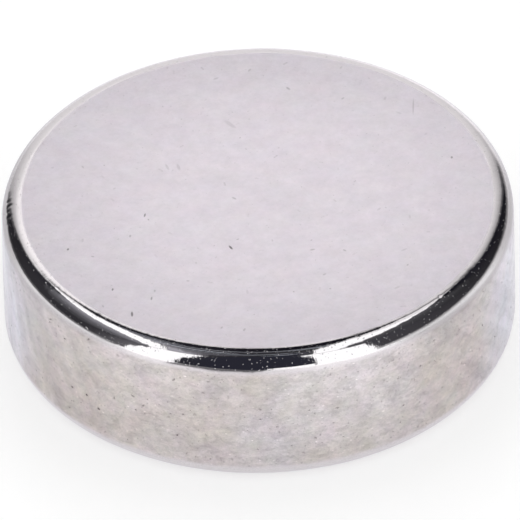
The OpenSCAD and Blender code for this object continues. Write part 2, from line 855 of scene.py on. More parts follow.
@dataclass(frozen=True)
class FaceMark:
    """A pit or scratch of the upper face: its place in mm, its lean from the x axis, and its size."""

    x: float
    y: float
    lean_deg: float
    half_width: float
    length: float
    strength: float

    def place(self, ground: "Ground") -> tuple[Way, Way]:
        """Centre of the mark on the upper face, in millimetres, and its direction."""
        lean = math.radians(self.lean_deg)
        return (self.x, self.y, ground.height), (math.cos(lean), math.sin(lean), 0.0)


@dataclass(frozen=True)
class WallMark:
    """A pit or scratch of the wall: its azimuth, its height in mm, its lean from level, and its size."""

    azimuth_deg: float
    z: float
    lean_deg: float
    half_width: float
    length: float
    strength: float

    def place(self, ground: "Ground") -> tuple[Way, Way]:
        """Works out where the mark lies on the wall.

        Args:
            ground: what the wall is worked out on.

        Returns:
            Its centre in millimetres, and its direction.
        """
        turn, lean = math.radians(self.azimuth_deg), math.radians(self.lean_deg)
        centre = (ground.radius * math.sin(turn), -ground.radius * math.cos(turn), self.z)
        return centre, (math.cos(lean) * math.cos(turn), math.cos(lean) * math.sin(turn), math.sin(lean))


@dataclass(frozen=True)
class ReflectionTint:
    """A soft patch of painted reflection tone on the wall: its centre in mm, its reach, and how strong it
    gets.
    """

    centre: Way
    reach: float
    strength: float
    colour: Colour
    core: float = 0.2


@dataclass(frozen=True)
class Layer:
    """What one zone of the plating asks for: colour, marks, fine height in microns, and roughness."""

    colour: NodeSocket
    marks: NodeSocket
    height: NodeSocket
    rough: NodeSocket


@dataclass(frozen=True)
class Ground:
    """What a zone is worked out on: the sheet, the shared effects, the place in mm and the normal.

    Radius and height are the disc's own, in millimetres.
    """

    sheet: Sheet
    effects: Effects
    place: NodeSocket
    normal: NodeSocket
    radius: float
    height: float

    def noise(self, kind: Noise, place: NodeSocket) -> NodeSocket:
        """A noise's value, about 0.5."""
        return self.sheet.noise(place, kind.scale, kind.detail, kind.roughness).outputs[0]

    def clouds(self, kind: Clouds) -> tuple[NodeSocket, NodeSocket]:
        """The clouds' value from 0 to 1, and their shift of the colour."""
        made = self.sheet.use(self.effects.clouds, Place=self.place, Scale=kind.scale,
                              Fine_share=kind.fine_share, Contrast=kind.contrast).outputs
        return made[0], self.sheet.vector("MULTIPLY", made[1], kind.hue)

    def grain(self, scale: float, place: NodeSocket) -> NodeSocket:
        """The mottle's value, from -1 to 1."""
        return self.sheet.use(self.effects.grain, Place=place, Scale=scale).outputs[0]

    def flecks(self, kind: Flecks, place: NodeSocket) -> NodeSocket:
        """How strong a scatter of flecks is at each place."""
        made = self.sheet.use(self.effects.flecks, Place=place, Normal=self.normal, Cells_per_mm=kind.cells,
                              Chance=kind.chance, Size=kind.size, Length=kind.length)
        return self.sheet.product(made.outputs[0], kind.strength)

    def marks(self, marks: tuple[FaceMark | WallMark, ...]) -> NodeSocket:
        """How strong the marks of given places are at each place.

        Args:
            marks: the marks, of which the strongest one counts.

        Returns:
            The mask.
        """
        masks = []
        for mark in marks:
            centre, lean = mark.place(self)
            one = self.sheet.use(self.effects.mark, Place=self.place, Centre=centre, Lean=lean,
                                 Half_width=mark.half_width, Length=mark.length)
            masks.append(self.sheet.product(one.outputs[0], mark.strength))
        return self.sheet.most(*masks)


# ---- Finishes ----


def new_material(name: str) -> tuple[Material, Sheet]:
    """Starts an empty material.

    Args:
        name: the material's name.

    Returns:
        The material, and the sheet to build it on.
    """
    material = bpy.data.materials.new(name)
    material.use_nodes = True
    material.node_tree.nodes.clear()
    return material, Sheet(material.node_tree)


@dataclass(frozen=True)
class FaceFinish:
    """The faces: a satin, pale middle that darkens towards the rim as painted shade, soft clouds, and fine
    dots and ticks.

    Heights and depths are in microns.
    """

    pale: Colour = (0.900, 0.834, 0.896)
    deep: Colour = (0.748, 0.699, 0.754)
    # Painted shade: the colour goes from pale near this middle to deep towards the rim, a little more or less
    # in the clouds.
    middle: Way = (0.4, -0.2, 0.0)
    painted_shade_reach: Fade = (1.6, 6.0)
    painted_shade_in_clouds: Fade = (0.8, 1.2)
    clouds: Clouds = Clouds(0.30, 0.42, 2.5, (0.05, 0.05, 0.05))
    specks: Flecks = Flecks(2.2, 0.5, 0.08, 1.5, 0.24)
    dots: Flecks = Flecks(2.2, 0.8, 0.075, 2.6, 0.36)
    fine: Flecks = Flecks(5.2, 0.6, 0.09, 1.8, 0.24)
    mottle_scale: float = 2.4
    mottle: float = 0.17
    swell: Noise = Noise(1.6, 1.5)
    swell_height: float = 0.35
    mark_depth: float = 2.0
    roughness: float = 0.34
    uneven: float = 0.02
    marks: tuple[FaceMark, ...] = (
        FaceMark(-2.20, -0.44, 79, 0.018, 3.2, 0.66),
        FaceMark(-2.13, -0.58, 111, 0.014, 2.0, 0.41),
        FaceMark(-3.70, -1.45, 71, 0.021, 1.6, 0.72),
        FaceMark(-0.54, -1.50, 119, 0.023, 3.0, 0.85),
        FaceMark(-2.84, -2.72, 81, 0.019, 2.0, 0.72),
        FaceMark(-2.09, -3.02, 83, 0.018, 3.0, 0.49),
        FaceMark(-2.47, -3.49, 91, 0.023, 3.4, 0.76),
        FaceMark(3.81, 1.17, 86, 0.023, 1.6, 0.54),
        FaceMark(3.09, 2.79, 88, 0.018, 14.0, 0.23),
        FaceMark(-0.51, 2.36, 131, 0.048, 3.6, 0.15),
        FaceMark(-1.75, 1.05, 109, 0.026, 4.0, 0.18),
        FaceMark(-1.53, 1.04, 103, 0.032, 3.4, 0.20),
    )

    def layer(self, ground: Ground) -> Layer:
        """Works the faces out.

        Args:
            ground: what they are worked out on.

        Returns:
            Their layer.
        """
        s, place = ground.sheet, ground.place
        cloud, hue = ground.clouds(self.clouds)
        x, y, _ = s.parts(place)
        out = s.vector("DISTANCE", s.joined(x, y), self.middle)
        # Painted shade: a deeper colour further from the middle.
        painted_shade = s.product(s.ramp(out, *self.painted_shade_reach), s.ramp(cloud, 0.0, 1.0, *self.painted_shade_in_clouds))
        colour = s.vector("ADD", s.blend(painted_shade, rgba(self.pale), rgba(self.deep)), hue)
        mottle = ground.grain(self.mottle_scale, place)
        bright = s.total(1.0, ground.flecks(self.specks, place), s.product(mottle, self.mottle))
        marks = s.most(ground.marks(self.marks), ground.flecks(self.dots, place),
                       ground.flecks(self.fine, place))
        height = s.product(ground.noise(self.swell, place), self.swell_height)
        rough = s.total(self.roughness, s.product(mottle, self.uneven))
        return Layer(s.scaled(colour, bright), marks, s.raised(marks, -self.mark_depth, height), rough)


@dataclass(frozen=True)
class WallFinish:
    """The wall: warm and pale patches, level ledges, granular mottle, pits and drawn streaks.

    The mottle rules in front and behind, and the streaks at the sides. Pairs of shares are in
    that order. The streaks lean round the axis as they rise, more so towards the right.
    """

    pale: Colour = (0.655, 0.622, 0.652)
    warm: Colour = (0.545, 0.490, 0.465)
    clouds: Clouds = Clouds(0.34, 0.40, 2.6, (0.10, 0.065, 0.10))
    # Painted reflection tones: the warm patches at front left and right darken and warm the wall there, and
    # the bluish ones at the sides give it the tint of a grazing reflection.
    reflection_tints: tuple[ReflectionTint, ...] = (
        ReflectionTint((-3.5, -3.6, 1.4), 2.3, 0.55, (0.540, 0.480, 0.450)),
        ReflectionTint((3.7, -3.3, 1.4), 2.1, 0.85, (0.545, 0.490, 0.470)),
        ReflectionTint((-4.9, -0.8, 1.5), 2.3, 0.70, (0.590, 0.585, 0.662)),
        ReflectionTint((4.9, -0.8, 1.5), 2.2, 0.70, (0.600, 0.595, 0.672)),
    )
    sides: Fade = (2.9, 4.6)
    flatten: Way = (1.0, 1.0, 1.6)
    mottle_scale: float = 2.6
    mottle: Fade = (0.47, 0.24)
    streak: Noise = Noise(1.3, 2.5, 0.6)
    streaks: Fade = (0.35, 1.0)
    streak_span: Fade = (-2.0, 3.5)
    streak_lean_deg: Fade = (4.0, 11.5)
    streak_stretch: Way = (1.0, 1.0, 0.25)
    specks: Flecks = Flecks(4.4, 0.5, 0.12, 1.5, 0.45)
    pits: Flecks = Flecks(4.0, 0.8, 0.12, 2.0, 0.56)
    small_pits: Flecks = Flecks(7.5, 0.8, 0.15, 1.8, 0.50)
    ledge_scale: float = 2.0
    ledge_width: float = 0.10
    ledge_broken: float = 0.50
    ledges: float = 0.14
    ridge: Noise = Noise(3.0, 1.5)
    ridge_height: float = 3.0
    mottle_height: float = 0.8
    mark_depth: float = 3.0
    roughness: float = 0.17
    uneven: float = 0.05
    marks: tuple[WallMark, ...] = (
        WallMark(-47.2, 1.14, 20, 0.022, 1.6, 0.75),
        WallMark(-42.7, 1.16, 0, 0.026, 1.3, 0.85),
        WallMark(-39.2, 0.97, 0, 0.028, 1.4, 0.85),
        WallMark(-29.2, 1.33, 0, 0.022, 1.0, 0.70),
        WallMark(-19.2, 0.97, 0, 0.022, 1.0, 0.95),
        WallMark(-48.2, 0.58, 20, 0.020, 2.0, 0.60),
        WallMark(-49.2, 2.24, 15, 0.018, 2.6, 0.60),
        WallMark(-54.2, 2.46, 30, 0.018, 3.4, 0.60),
        WallMark(3.3, 1.34, -10, 0.020, 1.4, 0.50),
    )

    def layer(self, ground: Ground) -> Layer:
        """Works the wall out.

        Args:
            ground: what it is worked out on.

        Returns:
            Its layer.
        """
        s, place = ground.sheet, ground.place
        level = s.vector("MULTIPLY", place, self.flatten)
        upright = self._combed(s, place)
        mottle = ground.grain(self.mottle_scale, level)
        aside = s.ramp(s.math("ABSOLUTE", s.parts(place)[0]), *self.sides)
        drawn = s.math("SUBTRACT", ground.noise(self.streak, upright), 0.5)
        bright = s.total(1.0, s.product(mottle, s.mix(aside, *self.mottle)),
                         s.product(drawn, s.mix(aside, *self.streaks)), ground.flecks(self.specks, level))
        ledges = s.use(ground.effects.ledges, Place=level, Scale=self.ledge_scale, Width=self.ledge_width,
                       Broken=self.ledge_broken).outputs[0]
        marks = s.most(ground.marks(self.marks), ground.flecks(self.pits, place),
                       ground.flecks(self.small_pits, place), s.product(ledges, self.ledges))
        height = s.raised(ground.noise(self.ridge, upright), self.ridge_height,
                          s.product(mottle, self.mottle_height))
        rough = s.total(self.roughness, s.product(mottle, self.uneven))
        return Layer(s.scaled(self._colour(ground), bright), marks,
                     s.raised(marks, -self.mark_depth, height), rough)

    def _colour(self, ground: Ground) -> NodeSocket:
        """The wall's colour: clouds from warm to pale, the painted reflection tints over them, and the
        clouds' hue.

        Args:
            ground: what it is worked out on.

        Returns:
            The colour, before it is made brighter or darker.
        """
        s = ground.sheet
        cloud, hue = ground.clouds(self.clouds)
        colour = s.blend(cloud, rgba(self.warm), rgba(self.pale))
        # Painted reflection tints, laid over the clouds.
        for reflection_tint in self.reflection_tints:
            away = s.vector("DISTANCE", ground.place, reflection_tint.centre)
            share = s.ramp(away, reflection_tint.core * reflection_tint.reach, reflection_tint.reach, reflection_tint.strength, 0.0)
            colour = s.blend(share, colour, rgba(reflection_tint.colour))
        return s.vector("ADD", colour, hue)

    def _combed(self, s: Sheet, place: NodeSocket) -> NodeSocket:
        """Coordinates for streaks: the place turned about the axis as it rises, and drawn out along it.

        Args:
            s: the sheet.
            place: the place in millimetres.

        Returns:
            The coordinates.
        """
        x, _, z = s.parts(place)
        lean = s.ramp(x, *self.streak_span, *(math.radians(a) for a in self.streak_lean_deg))
        turned = s.node("VectorRotate", {"Vector": place, "Angle": s.product(z, lean)},
                        rotation_type="Z_AXIS")
        return s.vector("MULTIPLY", turned.outputs[0], self.streak_stretch)


@dataclass(frozen=True)
class EdgeFinish:
    """The rolled edges: smoother and brighter, with dings, scuffs, and streaks that run over the edge.

    The front of the upper edge has a paler colour, a painted highlight where the lamps' highlights lie. That
    stretch is given by how far round it lies (-1 is straight in front), and by the rise of its normal at its
    foot and at its top.
    """

    tint: Colour = (0.700, 0.670, 0.690)
    worn: Colour = (0.545, 0.490, 0.465)
    worn_share: float = 0.2
    # Painted highlight: the paler colour along the front of the upper edge, so that the lamps' highlights
    # there show white.
    painted_highlight: Colour = (0.950, 0.925, 0.945)
    painted_highlight_round: Fade = (-0.20, -0.5)
    painted_highlight_foot: Fade = (0.24, 0.375)
    painted_highlight_top: Fade = (0.985, 0.951)
    rise_share: float = 0.5
    streak: Noise = Noise(9.0, 3.0, 0.7)
    scuff: Noise = Noise(16.0, 3.0, 0.9)
    scuff_part: Fade = (0.48, 0.84)
    scuff_roughness: float = 0.13
    scuff_mark: float = 0.04
    dings: Flecks = Flecks(9.0, 1.0, 0.11, 2.2, 1.0)
    ding_depth: float = 3.4
    ding_mark: float = 0.1
    roughness: float = 0.05

    def layer(self, ground: Ground) -> Layer:
        """Works the rolled edges out.

        Args:
            ground: what they are worked out on.

        Returns:
            Their layer.
        """
        s = ground.sheet
        x, y, z = s.parts(ground.place)
        outward = s.vector("NORMALIZE", s.joined(x, y))
        rim = s.vector("ADD", s.scaled(outward, ground.radius), s.joined(z=s.product(z, self.rise_share)))
        streaks = ground.noise(self.streak, rim)
        scuffs = s.ramp(ground.noise(self.scuff, rim), *self.scuff_part)
        dings = ground.flecks(self.dings, ground.place)
        tint = s.blend(s.product(streaks, self.worn_share), rgba(self.tint), rgba(self.worn))
        # Painted highlight: a paler colour along the front of the upper edge, between its foot and its top.
        rise = s.parts(ground.normal)[2]
        painted_highlight_share = s.product(s.ramp(s.parts(outward)[1], *self.painted_highlight_round),
                              s.ramp(rise, *self.painted_highlight_foot), s.ramp(rise, *self.painted_highlight_top))
        marks = s.most(s.product(dings, self.ding_mark), s.product(scuffs, self.scuff_mark))
        return Layer(s.blend(painted_highlight_share, tint, rgba(self.painted_highlight)), marks,
                     s.raised(dings, -self.ding_depth, streaks),
                     s.raised(scuffs, self.scuff_roughness, self.roughness))


@dataclass(frozen=True)
class NickelPlating:
    """Bright nickel over a tumbled, sintered disc, dressed by zone."""

    radius: float
    height: float
    face: FaceFinish = FaceFinish()
    wall: WallFinish = WallFinish()
    edge: EdgeFinish = EdgeFinish()
    face_metal: float = 0.65
    mark: Colour = (0.130, 0.110, 0.115)
    mark_roughness: float = 0.45
    grazing_tint: Colour = (0.97, 0.965, 1.0)

    def build(self, effects: Effects) -> Material:
        """Makes the material.

        Args:
            effects: the shared node groups.

        Returns:
            The material, which reads object coordinates and the skin's zone shares.
        """
        material, s = new_material("nickel_plating")
        coordinates = s.node("TexCoord").outputs
        ground = Ground(s, effects, s.scaled(coordinates["Object"], 1 / MM), coordinates["Normal"],
                        self.radius, self.height)
        face, edge, wall = (s.attribute(zone.value) for zone in Zone)
        on_face, on_edge, on_wall = (finish.layer(ground) for finish in (self.face, self.edge, self.wall))
        colour = s.blend(edge, s.blend(wall, on_face.colour, on_wall.colour), on_edge.colour)
        marks = s.mix(edge, s.mix(wall, on_face.marks, on_wall.marks), on_edge.marks)
        height = s.mix(edge, s.mix(wall, on_face.height, on_wall.height), on_edge.height)
        rough = s.mix(edge, s.mix(wall, on_face.rough, on_wall.rough), on_edge.rough)
        bump = s.node("Bump", {"Height": height, "Distance": MM * MICRON, "Strength": 1.0})
        s.show(s.node("BsdfPrincipled", {
            "Base Color": s.blend(marks, colour, rgba(self.mark)),
            "Metallic": s.mix(face, 1.0, self.face_metal),
            "Roughness": s.mix(marks, rough, self.mark_roughness),
            "Specular Tint": rgba(self.grazing_tint), "Normal": bump.outputs[0]}))
        return material


@dataclass(frozen=True)
class BoardFinish:
    """A pale satin board that the camera and the metal see as white, and that keeps its shadow."""

    colour: Colour = (0.56, 0.56, 0.56)
    roughness: float = 0.34
    shine: float = 0.18
    lift: float = 0.54

    def build(self) -> Material:
        """Makes the material.

        Returns:
            The material: a satin board, with some light of its own for camera, glossy and
            transmitted rays, and nothing at all from below.
        """
        material, s = new_material("pale_board")
        board = s.node("BsdfPrincipled", {"Base Color": rgba(self.colour), "Roughness": self.roughness,
                                          "Specular IOR Level": self.shine, "Emission Color": rgba(WHITE),
                                          "Emission Strength": s.product(seen_directly(s), self.lift)})
        under = s.node("NewGeometry").outputs["Backfacing"]
        clear = s.node("BsdfTransparent")
        s.show(s.node("MixShader", {0: under, 1: board.outputs[0], 2: clear.outputs[0]}))
        return material


def seen_directly(s: Sheet) -> NodeSocket:
    """1 for camera, glossy and transmitted rays, and 0 for the rest."""
    path = s.node("LightPath").outputs
    return s.most(path["Is Camera Ray"], path["Is Glossy Ray"], path["Is Transmission Ray"])


@dataclass(frozen=True)
class StripGlow:
    """The glow of a strip of light, with edges and far end that fade over a share of its width or length."""

    radiance: float
    colour: Colour = WHITE
    soft_inner: float = 0.04
    soft_outer: float = 0.04
    soft_end: float = 0.04

    def build(self, name: str) -> Material:
        """Makes the material.

        Args:
            name: the material's name.

        Returns:
            The material, which reads the strip's own two coordinates.
        """
        material, s = new_material(name)
        across, along = s.attribute("across"), s.attribute("along")
        glow = s.product(s.ramp(across, 0.0, self.soft_inner), s.ramp(across, 1.0, 1 - self.soft_outer),
                         s.ramp(along, 1.0, 1 - self.soft_end), self.radiance)
        s.show(s.node("Emission", {"Color": rgba(self.colour), "Strength": glow}))
        return material


# ---- Studio ----


class SeenBy(Enum):
    """What meets a studio piece: everything, everything but the camera, or only the metal's reflections."""

    EVERYTHING = "everything"
    ALL_LIGHT = "all_light"
    METAL_ONLY = "metal_only"


def stage_piece(name: str, mesh: Mesh, material: Material, seen_by: SeenBy) -> Object:
    """Puts a piece of the studio into the scene.

    Args:
        name: the piece's name.
        mesh: its shape.
        material: its finish.
        seen_by: what meets it. A piece that only the metal sees leaves the room's light alone.

    Returns:
        The object.
    """
    piece = scene_object(name, mesh)
    piece.data.materials.append(material)
    if seen_by is not SeenBy.EVERYTHING:
        piece.visible_camera = False
        piece.visible_transmission = False
    if seen_by is SeenBy.METAL_ONLY:
        piece.visible_diffuse = False
        piece.visible_shadow = False
    LOG.info("studio: %s", name)
    return piece


def corners_cut(points: np.ndarray, rounds: int = 3, share: float = 0.25) -> np.ndarray:
    """A smoother path: each round cuts every corner at a share of both its sides, and keeps the ends.

    Args:
        points: one row of x, y, z for each point.
        rounds: how often the corners are cut.
        share: the share of a side that is cut off at each of its ends.

    Returns:
        The new path's points.
    """
    for _ in range(rounds):
        first, second = points[:-1], points[1:]
        cut = np.stack([(1 - share) * first + share * second, share * first + (1 - share) * second], 1)
        points = np.concatenate([points[:1], cut.reshape(-1, 3), points[-1:]])
    return points


def upright(*edge: tuple[float, float]) -> tuple[Way, ...]:
    """Ways towards an edge in front of the magnet, given by x and z where y is -1."""
    return tuple((x, -1.0, z) for x, z in edge)


def overhead(*edge: tuple[float, float]) -> tuple[Way, ...]:
    """Ways towards an edge above the magnet, given by x and y where z is 1."""
    return tuple((x, y, 1.0) for x, y in edge)


@dataclass(frozen=True)
class Strip:
    """A bent strip of light, given by the ways in which its two edges are seen from the magnet.

    Ways are x to the right, y away from the camera and z up, of any length.
    """

    name: str
    inner: tuple[Way, ...]
    outer: tuple[Way, ...]
    glow: StripGlow
    seen_by: SeenBy = SeenBy.ALL_LIGHT
    columns: int = 9

    def build(self, distance: float) -> Object:
        """Makes the strip, on a sphere round the magnet.

        Each row of points runs from the smoothed inner edge to the smoothed outer edge.

        Args:
            distance: the sphere's radius, in millimetres.

        Returns:
            The object, with its place across and along itself as attributes.
        """
        edges = []
        for edge in (self.inner, self.outer):
            ways = np.array(edge)
            edges.append(corners_cut(ways / np.linalg.norm(ways, axis=1, keepdims=True)))
        rows = len(edges[0])
        along, across = np.meshgrid(np.linspace(0, 1, rows), np.linspace(0, 1, self.columns), indexing="ij")
        points = (1 - across)[..., None] * edges[0][:, None] + across[..., None] * edges[1][:, None]
        points *= distance * MM / np.linalg.norm(points, axis=2, keepdims=True)
        mesh = sheet_mesh(self.name, points)
        point_values(mesh, "across", across)
        point_values(mesh, "along", along)
        return stage_piece(self.name, mesh, self.glow.build(self.name), self.seen_by)


@dataclass(frozen=True)
class Sky:
    """The dome's sheet, and the direction on it: x to the right, y away from the camera, and z up."""

    sheet: Sheet
    x: NodeSocket
    y: NodeSocket
    z: NodeSocket


@dataclass(frozen=True)
class Backdrop:
    """The pale backdrop: its radiance from far left to far right of straight behind, up to a soft limit.

    Aside is x over y. Near the limit the backdrop is lifted left of the middle and falls off
    right of it, by shares that grow between two heights and between two places aside.
    """

    half_width: float = 1.0
    least_y: float = 0.001
    sweep: tuple[Stop, ...] = (
        (0.06, 0.0), (0.13, 0.10), (0.20, 0.54), (0.28, 0.72), (0.34, 0.87), (0.42, 0.97), (0.50, 1.0),
        (0.55, 1.0), (0.61, 0.93), (0.66, 0.76), (0.72, 0.54), (0.78, 0.12), (0.84, 0.0))
    limit: Fade = (0.69, 0.728)
    limit_reach: float = 0.12
    soft: float = 0.035
    lift: float = 0.36
    lift_heights: Fade = (0.53, 0.66)
    lift_aside: Fade = (0.06, -0.10)
    fall: float = -0.20
    fall_heights: Fade = (0.42, 0.66)
    fall_aside: Fade = (0.0, 0.25)

    def tone(self, sky: Sky) -> NodeSocket:
        """The backdrop's radiance in each direction.

        Args:
            sky: the dome's sheet and direction.

        Returns:
            The radiance, which is 0 in front.
        """
        s = sky.sheet
        aside = s.math("DIVIDE", sky.x, s.math("MAXIMUM", sky.y, self.least_y))
        sweep = s.curve(s.ramp(aside, -self.half_width, self.half_width, smooth=False), self.sweep)
        limit = s.ramp(s.math("ABSOLUTE", aside), 0.0, self.limit_reach, *self.limit)
        under = s.ramp(sky.z, s.math("SUBTRACT", limit, self.soft), s.math("ADD", limit, self.soft), 1.0, 0.0)
        lift = s.product(s.ramp(sky.z, *self.lift_heights, 0.0, self.lift), s.ramp(aside, *self.lift_aside))
        fall = s.product(s.ramp(sky.z, *self.fall_heights, 0.0, self.fall), s.ramp(aside, *self.fall_aside))
        return s.product(sweep, under, s.math("GREATER_THAN", sky.y, 0.0), s.total(lift, fall, 1.0))


@dataclass(frozen=True)
class Foot:
    """A pale stretch along the horizon: its radiance there, the height it fades to, and its ends."""

    radiance: float
    height: float
    x: Fade
    y: Fade | None = None

    def tone(self, sky: Sky) -> NodeSocket:
        """The stretch's radiance in each direction.

        Args:
            sky: the dome's sheet and direction.

        Returns:
            The radiance.
        """
        s = sky.sheet
        tone = s.product(s.ramp(sky.z, 0.0, self.height, self.radiance, 0.0), s.ramp(sky.x, *self.x))
        return tone if self.y is None else s.product(tone, s.ramp(sky.y, *self.y))


@dataclass(frozen=True)
class PaleWall:
    """A paler stretch of the flags: azimuths and radiances it grows between, and where it ends."""

    grows_deg: Fade
    radiance: Fade
    ends_deg: Fade

    def tone(self, s: Sheet, azimuth: NodeSocket) -> NodeSocket:
        """The stretch's radiance.

        Args:
            s: the sheet.
            azimuth: the azimuth in radians.

        Returns:
            The radiance at each azimuth.
        """
        grows, ends = ([math.radians(a) for a in pair] for pair in (self.grows_deg, self.ends_deg))
        return s.product(s.ramp(azimuth, *grows, *self.radiance), s.ramp(azimuth, *ends))


@dataclass(frozen=True)
class Flags:
    """The dark flags all round, and the paler room overhead near the lamps.

    The sweep gives the room's radiance from the left horizon over the top to the right. Depth is
    y over z, and the room's front and back ends are given by it, at the sides and in the middle.
    """

    sweep: tuple[Stop, ...] = (
        (0.0, 0.023), (0.11, 0.036), (0.17, 0.058), (0.25, 0.115), (0.29, 0.19), (0.33, 0.30),
        (0.39, 0.37), (0.42, 0.18), (0.44, 0.095), (0.465, 0.044), (0.49, 0.030), (0.53, 0.030),
        (0.60, 0.117), (0.65, 0.063), (0.70, 0.046), (0.78, 0.032), (0.84, 0.026), (1.0, 0.018))
    room_tint: Colour = (1.0, 0.99, 1.08)
    least_height: float = 0.2
    middle: float = 0.49
    middle_reach: Fade = (0.10, 0.05)
    front_at_sides: Fade = (-0.65, -0.30)
    front_in_middle: Fade = (-0.45, -0.02)
    back_at_sides: Fade = (0.70, 0.46)
    back_in_middle: Fade = (0.62, 0.42)
    room_heights: Fade = (0.15, 0.45)
    front: Colour = (0.0213, 0.022, 0.0316)
    back: Colour = (0.0088, 0.0088, 0.014)
    side: Colour = (0.022, 0.021, 0.0245)
    front_to_back: Fade = (0.0, 0.6)
    centre_to_side: Fade = (0.2, 0.9)
    walls: tuple[PaleWall, ...] = (
        PaleWall((-78, -57), (0.009, 0.085), (-40, -50)),
        PaleWall((125, 60), (0.0, 0.0265), (30, 45)),
    )
    wall_tint: Colour = (1.0, 0.98, 1.04)

    def colour(self, sky: Sky) -> NodeSocket:
        """The radiance of flags and room together, which is the stronger of the two.

        Args:
            sky: the dome's sheet and direction.

        Returns:
            The colour in each direction.
        """
        s = sky.sheet
        depth = s.math("DIVIDE", sky.y, s.math("MAXIMUM", sky.z, self.least_height))
        centre = s.blend(s.ramp(depth, *self.front_to_back), rgba(self.front), rgba(self.back))
        dark = s.blend(s.ramp(s.math("ABSOLUTE", sky.x), *self.centre_to_side), centre, rgba(self.side))
        azimuth = s.math("ARCTAN2", sky.x, s.math("MULTIPLY", sky.y, -1.0))
        pale = s.total(*(wall.tone(s, azimuth) for wall in self.walls))
        dark = s.vector("ADD", dark, s.scaled(self.wall_tint, pale))
        return s.vector("MAXIMUM", dark, s.scaled(self.room_tint, self._room(sky, depth)))

    def _room(self, sky: Sky, depth: NodeSocket) -> NodeSocket:
        """The room's radiance overhead.

        Args:
            sky: the dome's sheet and direction.
            depth: y over z.

        Returns:
            The radiance in each direction.
        """
        s = sky.sheet
        turn = s.math("ARCTAN2", sky.x, s.math("MAXIMUM", sky.z, 0.0))
        over = s.math("ADD", s.math("DIVIDE", turn, math.pi), 0.5)
        middle = s.ramp(s.math("ABSOLUTE", s.math("SUBTRACT", over, self.middle)), *self.middle_reach)
        front = s.mix(middle, s.ramp(depth, *self.front_at_sides), s.ramp(depth, *self.front_in_middle))
        back = s.mix(middle, s.ramp(depth, *self.back_at_sides), s.ramp(depth, *self.back_in_middle))
        return s.product(s.curve(over, self.sweep), front, back, s.ramp(sky.z, *self.room_heights))


@dataclass(frozen=True)
class Surround:
    """A dome that only the metal sees: dark flags all round, a pale backdrop, and pale feet under it."""

    radius: float = 900.0
    sunk_deg: float = 1.0
    rows: int = 49
    columns: int = 129
    pale_tint: Colour = (1.0, 0.995, 0.985)
    backdrop: Backdrop = Backdrop()
    feet: tuple[Foot, ...] = (
        Foot(0.48, 0.21, (0.66, 0.80)),
        Foot(0.15, 0.06, (-0.40, -0.70)),
        Foot(0.50, 0.28, (0.0, 0.2), (0.4, 0.75)),
    )
    flags: Flags = Flags()

    def build(self) -> Object:
        """Makes the dome: latitude by longitude, from just under the horizon to the top.

        Returns:
            The object.
        """
        up, turn = np.meshgrid(np.linspace(math.radians(-self.sunk_deg), QUARTER, self.rows),
                               np.linspace(0, TURN, self.columns), indexing="ij")
        points = np.stack([np.cos(up) * np.sin(turn), -np.cos(up) * np.cos(turn), np.sin(up)], -1)
        mesh = sheet_mesh("surround", self.radius * MM * points)
        return stage_piece("surround", mesh, self._glow(), SeenBy.METAL_ONLY)

    def _glow(self) -> Material:
        """Makes the dome's material.

        Returns:
            The material, which glows by direction.
        """
        material, s = new_material("surround")
        sky = Sky(s, *s.parts(s.vector("NORMALIZE", s.node("TexCoord").outputs["Object"])))
        pale = s.math("ADD", self.backdrop.tone(sky), s.most(*(foot.tone(sky) for foot in self.feet)))
        glow = s.node("Emission", {"Color": rgba(self.pale_tint), "Strength": pale})
        room = s.node("Emission", {"Color": self.flags.colour(sky), "Strength": 1.0})
        s.show(s.node("AddShader", {0: glow.outputs[0], 1: room.outputs[0]}))
        return material


@dataclass(frozen=True)
class FloorSheet:
    """A thin sheet that lies on the board, which only the metal sees: a ring with a soft inner edge.

    Its stops give, for azimuths in degrees from the front to the right, the radii in millimetres
    at which it starts to show and is at its most, and how much it covers there.
    """

    name: str
    stops: tuple[tuple[float, float, float, float], ...]
    colour: Colour
    radiance: float = 1.0
    least: float = 5.02
    reach: float = 850.0
    above: float = 0.02
    rows: int = 64
    columns: int = 361

    def build(self) -> Object:
        """Makes the sheet: radii, in even ratios, by azimuths.

        It covers between the two radii by the eased share 3 * share**2 - 2 * share**3.

        Returns:
            The object, with how much it covers as an attribute.
        """
        azimuth, start, full, most = np.array(self.stops).T
        radii = np.geomspace(self.least, self.reach, self.rows)
        degrees = np.linspace(-180, 180, self.columns)
        r, a = np.meshgrid(radii, np.radians(degrees), indexing="ij")
        first, last = np.interp(degrees, azimuth, start), np.interp(degrees, azimuth, full)
        share = np.clip((r - first) / (last - first), 0, 1)
        share = share * share * (3 - 2 * share) * np.interp(degrees, azimuth, most)
        points = np.stack([r * np.sin(a), -r * np.cos(a), np.full_like(r, self.above)], -1)
        mesh = sheet_mesh(self.name, points * MM)
        point_values(mesh, "cover", share)
        return stage_piece(self.name, mesh, self._finish(), SeenBy.METAL_ONLY)

    def _finish(self) -> Material:
        """Makes the sheet's material.

        Returns:
            The material: clear where it covers nothing, and with its own glow where it covers all.
        """
        material, s = new_material(self.name)
        glow = s.node("Emission", {"Color": rgba(self.colour), "Strength": self.radiance})
        clear = s.node("BsdfTransparent")
        s.show(s.node("MixShader", {0: s.attribute("cover"), 1: clear.outputs[0], 2: glow.outputs[0]}))
        return material


@dataclass(frozen=True)
class Board:
    """The pale board: rings round a hole that the magnet covers, so that its underside is open to view."""

    radii: tuple[float, ...] = (4.4, 20.0, 200.0, 3000.0)
    drop: float = 0.004
    columns: int = 129

    def build(self) -> Object:
        """Makes the board.

        Returns:
            The object.
        """
        r, a = np.meshgrid(np.array(self.radii), np.linspace(0, TURN, self.columns), indexing="ij")
        points = np.stack([r * np.cos(a), r * np.sin(a), np.full_like(r, -self.drop)], -1)
        mesh = sheet_mesh("board", points * MM)
        mesh.flip_normals()
        return stage_piece("board", mesh, BoardFinish().build(), SeenBy.EVERYTHING)


